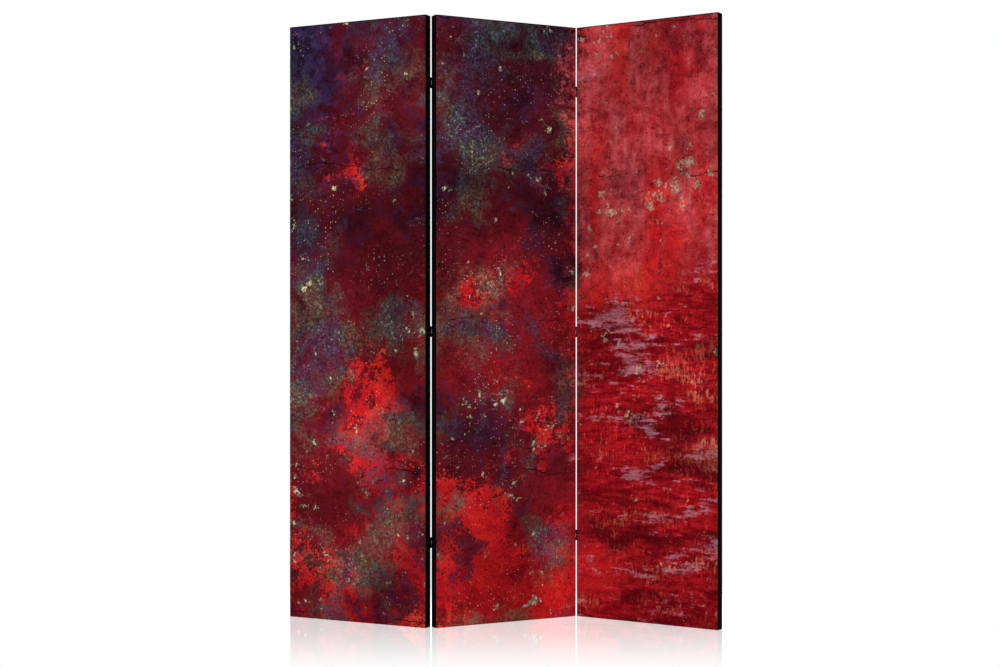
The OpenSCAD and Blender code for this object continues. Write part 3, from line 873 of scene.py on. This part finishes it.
threads = add(tree, "RGBToBW", {0: weave(tree, cloth)}).outputs[0]
slubs = sum_of(tree, cloud(tree, cloth, SLUB_W, seed=121, stretch=(1, 0.04, 1)),
               cloud(tree, cloth, SLUB_W, seed=122, stretch=(0.04, 1, 1)))
# painted shade in the grooves and a slight painted highlight on the thread tops, multiplied into the colour
groove_shade = spread(tree, threads, 0, 0.7, 0.86, 1.03, soft=False)
colour = vector_math(tree, "SCALE", colour, scale=groove_shade)[0]
feed(tree, shader.inputs["Base Color"], colour)
rough = spread(tree, cloud(tree, picture, 0.03, seed=123, detail=6), 0.3, 0.7, 0.62, 0.78, soft=False)
feed(tree, shader.inputs["Roughness"], rough)
shader.inputs["Specular IOR Level"].default_value = INK_SPECULAR
height = relief(tree, slubs, SLUB_DEPTH, strength=0.6)
feed(tree, shader.inputs["Normal"], relief(tree, threads, THREAD_DEPTH, below=height, strength=0.7))
for canvas in canvases.values():
    canvas.data.materials.append(canvas_material)
print("print nodes:", len(tree.nodes))


# %% [markdown]
# ## The back covers
#
# Behind each panel a thin black felt-like sheet hides the bars. It is cut by hand from a roll, so
# its edges are a little uneven, and it is only stapled, so it sinks in between the bars, dips at
# each staple and keeps soft waves. A flat box with a black material would show none of that.
#
# The staples come from the model. Their places are measured from the crowns, which lie level with
# the outermost plane of the cover.

# %% Where the staples hold the cover
STAPLE_APART = 30 * MM
COVER_DOWN = 0.20 * MM
COVER_T = 0.26 * MM
CROWN_SLACK = 0.02 * MM


def crowns(panel):
    """Places (x, z) of the cover's staples in the panel's own frame, and the outermost depth"""
    points = in_panel(places[panel], points_of(f"{panel}_panel_cover_staples"))
    outermost = points[:, 1].max()
    found = []
    for x, _, z in points[points[:, 1] > outermost - CROWN_SLACK]:
        for group in found:
            if math.dist((x, z), group[0]) < STAPLE_APART:
                group.append((x, z))
                break
        else:
            found.append([(x, z)])
    return [Vector(np.mean(group, axis=0)) for group in found], outermost


staples, cover_plane = crowns("middle")
print("staples in a cover:", len(staples), "plane:", round(cover_plane, 5))

# %% [markdown]
# The sheet is a grid that is denser along the edges. Between the bars it sags towards the front,
# most in the middle of each opening. The waves run across the edges, because the staples pull there.

# %% The cover's grid
COVER_IN = 4.5 * MM
COVER_SAG = 2.0 * MM
SAG_REACH = 90 * MM
COVER_RIPPLE_W = 130 * MM
COVER_RIPPLE_SHARE = 0.35
DIMPLE = 0.12 * MM
DIMPLE_R = 7 * MM
WAVE_DEPTH = 0.05 * MM
WAVE_L = 53 * MM
WAVE_REACH = 30 * MM
EDGE_WANDER = 0.4 * MM
EDGE_WANDER_L = (200 * MM, 100 * MM)
EDGE_WANDER_FADE = 8
COVER_STEPS_X = 48
COVER_STEPS_Z = 150
BUNCHING = 0.35


def cover_depth(x, z):
    """How far the sheet lies from the outermost plane, towards the front"""
    ripple = 1 + COVER_RIPPLE_SHARE * noise.noise(Vector((x, 0, z)) / COVER_RIPPLE_W)
    sag = COVER_SAG * soft_step(off_bars(x, z) / SAG_REACH) * ripple
    edge = min(PANEL_HALF_W - abs(x), z, PANEL_H - z)
    along = z if PANEL_HALF_W - abs(x) < min(z, PANEL_H - z) else x
    near_edge = soft_step(1 - abs(edge - WAVE_REACH) / WAVE_REACH)
    wave = WAVE_DEPTH * (1 + math.sin(2 * math.pi * along / WAVE_L)) * near_edge
    nearest = min((Vector((x, z)) - staple).length for staple in staples)
    return COVER_DOWN + sag + wave + DIMPLE * math.exp(-(nearest / DIMPLE_R) ** 2)


def bunched(half, steps):
    """Evenly counted places from -half to half, closer together towards both ends"""
    even = [2 * step / steps - 1 for step in range(steps + 1)]
    return [half * (BUNCHING * math.sin(math.pi / 2 * share) + (1 - BUNCHING) * share) for share in even]


def cover_mesh(seed):
    mesh = bmesh.new()
    flat = mesh.verts.layers.float_vector.new("flat")
    rows = []
    for up in bunched(PANEL_H / 2 - COVER_IN, COVER_STEPS_Z):
        row = []
        for right in bunched(PANEL_HALF_W - COVER_IN, COVER_STEPS_X):
            cut_x = EDGE_WANDER * noise.noise(Vector((seed, up / EDGE_WANDER_L[0], math.copysign(3, right))))
            cut_z = EDGE_WANDER * noise.noise(Vector((right / EDGE_WANDER_L[1], seed, math.copysign(5, up))))
            x = right + cut_x * (abs(right) / PANEL_HALF_W) ** EDGE_WANDER_FADE
            z = PANEL_H / 2 + up + cut_z * (2 * abs(up) / PANEL_H) ** EDGE_WANDER_FADE
            row.append((Vector((x, cover_plane - cover_depth(x, z), z)), Vector((x, z))))
        rows.append(row)
    add_grid(mesh, flat, rows, reverse=True)
    return mesh, flat


covers = {}
for seed, panel in enumerate(PANELS, start=1):
    mesh, flat = cover_mesh(seed)
    write_uvs(mesh, flat, 0)
    cover = set_in_place(mesh, f"{panel}_felt_cover", panel, f"{panel}_panel_back_cover")
    thicken(cover, COVER_T)
    covers[panel] = cover
    print(cover.name, len(cover.data.vertices), "points")

# %% [markdown]
# The felt is made of loose fibres pressed together with a fine pattern of bond points. Fibres are
# thin lines where a stretched cloud passes its middle, drawn in three directions. Lint gathers on
# it in clouds, and long shallow creases are left from the roll.

# %% Felt
FELT_POINT = 1.7 * MM
FIBRE_APART = 2.2 * MM
LINT_W = 300 * MM
CREASE_W = 130 * MM
CREASE_DEPTH = 7 * MM
FELT_DEPTH = 0.08 * MM
FELT_ROUGH = 0.92
FELT_SPECULAR = 0.15
FELT_SHEEN = 0.08


def fibres(tree, at, turn, seed):
    lines = placed(tree, at, stretch=(0.12, 1, 1), turn=turn)
    return near(tree, centred(tree, cloud(tree, lines, FIBRE_APART, seed=seed, detail=1)), 0.05)


felt, tree, shader = new_material("black_felt")
cloth = add(tree, "UVMap", {}, uv_map="cloth").outputs[0]
hairs = fibres(tree, cloth, 0.3, 201)
for turn, seed in ((1.5, 202), (2.4, 203)):
    hairs = arithmetic(tree, "MAXIMUM", hairs, fibres(tree, cloth, turn, seed))
points = cells(tree, cloth, FELT_POINT).outputs["Distance"]
bonds = spread(tree, points, 0.15, 0.45)
base = over(tree, linear(19, 19, 21), linear(37, 37, 40),
            spread(tree, cloud(tree, cloth, 0.07, seed=204, detail=7, rough=0.65), 0.36, 0.64))
base = over(tree, base, linear(62, 62, 66), product(tree, hairs, bonds, 0.45))
lint = spread(tree, cloud(tree, cloth, LINT_W, seed=206, detail=8, rough=0.75), 0.50, 0.66)
base = over(tree, base, linear(92, 90, 88), product(tree, lint, 0.14))
feed(tree, shader.inputs["Base Color"], base)
shader.inputs["Roughness"].default_value = FELT_ROUGH
shader.inputs["Specular IOR Level"].default_value = FELT_SPECULAR
shader.inputs["Sheen Weight"].default_value = FELT_SHEEN
height = sum_of(tree, product(tree, hairs, 0.5), product(tree, bonds, 0.8))
creased = placed(tree, cloth, stretch=(1, 0.4, 1), turn=0.25)
creases = relief(tree, cloud(tree, creased, CREASE_W, seed=205, detail=4), CREASE_DEPTH)
feed(tree, shader.inputs["Normal"], relief(tree, height, FELT_DEPTH, below=creases))
for cover in covers.values():
    cover.data.materials.append(felt)


# %% [markdown]
# ## Wood inside the panels
#
# The bars are planed pine. Its growth rings show as long, slightly wavy stripes along the bar:
# broad pale early wood and narrow darker late wood. A picture of planks would need the bars
# unwrapped. This pattern lives in space instead, as rings do in a log, and needs no map.
#
# The stripes come from a wave that is pushed about by a stretched cloud. Each bar's coordinates
# are turned until its length is the grain's direction, so stiles and rails get the same wood by
# different turns. Round a knot the rings swell out. The dowels are beech, which has short dark
# flecks and no knots.

# %% Pine and beech
GRAIN_SQUEEZE = 0.035
RING_W = 6 * MM
KNOT_APART = 100 * MM
KNOT_R = 11 * MM
WOOD_ROUGH = 0.62
WOOD_RELIEF = 0.06 * MM


def along_grain(tree, turn, upright):
    """Coordinates whose third part runs along the bar"""
    at = tree.nodes.new("ShaderNodeTexCoord").outputs["Object"]
    at = placed(tree, at, turn=-turn)
    laid_down = {"Vector": at, "Rotation": (0, math.radians(90), 0)}
    return at if upright else add(tree, "Mapping", laid_down).outputs[0]


def darker(rgb, share):
    return linear(*[value * share for value in rgb])


def wood_surface(name, turn, upright, pale, dark, ring_w=RING_W, flecks=0.0):
    """Pine with knots, or a wood with flecks in their place"""
    material, tree, shader = new_material(name)
    at = along_grain(tree, turn, upright)
    drawn = placed(tree, at, stretch=(1, 1, GRAIN_SQUEEZE))
    wander = cloud(tree, drawn, 0.05, seed=301, detail=3)
    side = parts_of(tree, at)
    phase = sum_of(tree, product(tree, side[0], 1 / ring_w), product(tree, side[1], 1 / ring_w),
                   product(tree, wander, 7.0))
    if not flecks:
        long = placed(tree, at, stretch=(1, 1, 0.6))
        from_knot = cells(tree, long, KNOT_APART, dimensions="3D").outputs["Distance"]
        knot_r = KNOT_R / KNOT_APART
        phase = sum_of(tree, phase, spread(tree, from_knot, 0.0, 4 * knot_r, 2.5, 0.0))
    late = spread(tree, arithmetic(tree, "FRACT", phase), 0.55, 0.95)
    colour = over(tree, linear(*pale), linear(*dark), product(tree, late, 0.75))
    pores = cloud(tree, drawn, 0.0011, seed=302, detail=2)
    colour = over(tree, colour, darker(dark, 0.72), spread(tree, pores, 0.58, 0.72, 0, 0.5))
    if flecks:
        fleck = spread(tree, cloud(tree, at, 0.0016, seed=303, stretch=(1, 1, 0.3)), 0.60, 0.66)
        colour = over(tree, colour, darker(dark, 0.8), product(tree, fleck, flecks))
    else:
        knots = spread(tree, from_knot, 0.5 * knot_r, knot_r, 1.0, 0.0)
        colour = over(tree, colour, linear(104, 62, 34), product(tree, knots, 0.8))
    feed(tree, shader.inputs["Base Color"], colour)
    shader.inputs["Roughness"].default_value = WOOD_ROUGH
    height = sum_of(tree, product(tree, late, 0.6), pores)
    feed(tree, shader.inputs["Normal"], relief(tree, height, WOOD_RELIEF))
    return material


def finish_node(name, material):
    """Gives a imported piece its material, in all of its slots"""
    data = frame["nodes"][name].data
    if not data.materials:
        data.materials.append(material)
    for slot in range(len(data.materials)):
        data.materials[slot] = material


PINE_PALE, PINE_DARK = (226, 192, 144), (188, 138, 84)
BEECH_PALE, BEECH_DARK = (208, 164, 120), (176, 126, 86)
for panel, turn in turns.items():
    stile_pine = wood_surface(f"pine_upright_{panel}", turn, True, PINE_PALE, PINE_DARK)
    rail_pine = wood_surface(f"pine_level_{panel}", turn, False, PINE_PALE, PINE_DARK)
    beech = wood_surface(f"beech_{panel}", turn, False, BEECH_PALE, BEECH_DARK, ring_w=2.5 * MM, flecks=0.7)
    for piece in ("left_stile", "right_stile"):
        finish_node(f"{panel}_panel_{piece}", stile_pine)
    for piece in ("top_rail", "mid_rail", "bottom_rail"):
        finish_node(f"{panel}_panel_{piece}", rail_pine)
    finish_node(f"{panel}_panel_dowels", beech)

# %% [markdown]
# ## Metal
#
# The staples are galvanised wire: grey zinc with a faint mottle and drawn lines. The hinges are
# stamped steel with a satin black coat, whose skin is slightly pebbled and rubbed thinner in
# places. Their pins and screws are blackened steel, oilier and a touch shinier, with brighter worn
# spots. All four are the same network with other numbers, so one function makes them.

# %% Staples, hinges, pins and screws
ROUGH_RANGE = 0.14
HINGE_SPECULAR = 0.12


def metal_surface(name, dark, light, worn, worn_share, metallic, rough, pebble):
    """A metal or coated metal: mottled colour, uneven gloss, fine relief and rubbed spots"""
    material, tree, shader = new_material(name)
    at = tree.nodes.new("ShaderNodeTexCoord").outputs["Object"]
    mottle = cloud(tree, at, 0.006, seed=401, detail=6)
    colour = over(tree, linear(*dark), linear(*light), spread(tree, mottle, 0.35, 0.65))
    lines = cloud(tree, at, 0.0007, seed=402, detail=2, stretch=(1, 1, 0.06))
    rubbed = product(tree, spread(tree, cloud(tree, at, 0.011, seed=403, detail=7, rough=0.7), 0.58, 0.66),
                     spread(tree, lines, 0.35, 0.65, 0.4, 1.0))
    colour = over(tree, colour, linear(*worn), product(tree, rubbed, worn_share))
    feed(tree, shader.inputs["Base Color"], colour)
    shader.inputs["Metallic"].default_value = metallic
    uneven = spread(tree, mottle, 0.3, 0.7, rough, rough + ROUGH_RANGE, soft=False)
    feed(tree, shader.inputs["Roughness"], uneven)
    skin = cloud(tree, at, 0.0009, seed=404, detail=2)
    feed(tree, shader.inputs["Normal"], relief(tree, sum_of(tree, skin, product(tree, lines, 0.3)), pebble))
    return material, shader


zinc, _ = metal_surface("galvanised_wire", (128, 132, 136), (176, 180, 184), (206, 208, 210),
                        worn_share=0.5, metallic=0.9, rough=0.34, pebble=0.012 * MM)
hinge_coat, shader = metal_surface("hinge_coat", (6, 6, 7), (12, 12, 13), (30, 30, 32),
                                   worn_share=0.35, metallic=0.0, rough=0.42, pebble=0.02 * MM)
shader.inputs["Specular IOR Level"].default_value = HINGE_SPECULAR
pin_black, _ = metal_surface("pin_black", (15, 15, 16), (28, 28, 30), (70, 70, 72),
                             worn_share=0.4, metallic=0.5, rough=0.36, pebble=0.008 * MM)
screw_black, _ = metal_surface("screw_black", (13, 13, 14), (26, 26, 28), (84, 84, 86),
                               worn_share=0.45, metallic=0.45, rough=0.40, pebble=0.010 * MM)

FINISH_OF_SLOT = {
    "staple_steel": zinc, "hinge_black": hinge_coat, "pin_steel": pin_black, "screw_black": screw_black,
}
slot_of = {part["node"]: part["material_slot"] for part in frame["record"]["subparts"]}
for name, slot in slot_of.items():
    if slot in FINISH_OF_SLOT:
        finish_node(name, FINISH_OF_SLOT[slot])
print("finished nodes:", sum(slot in FINISH_OF_SLOT for slot in slot_of.values()))
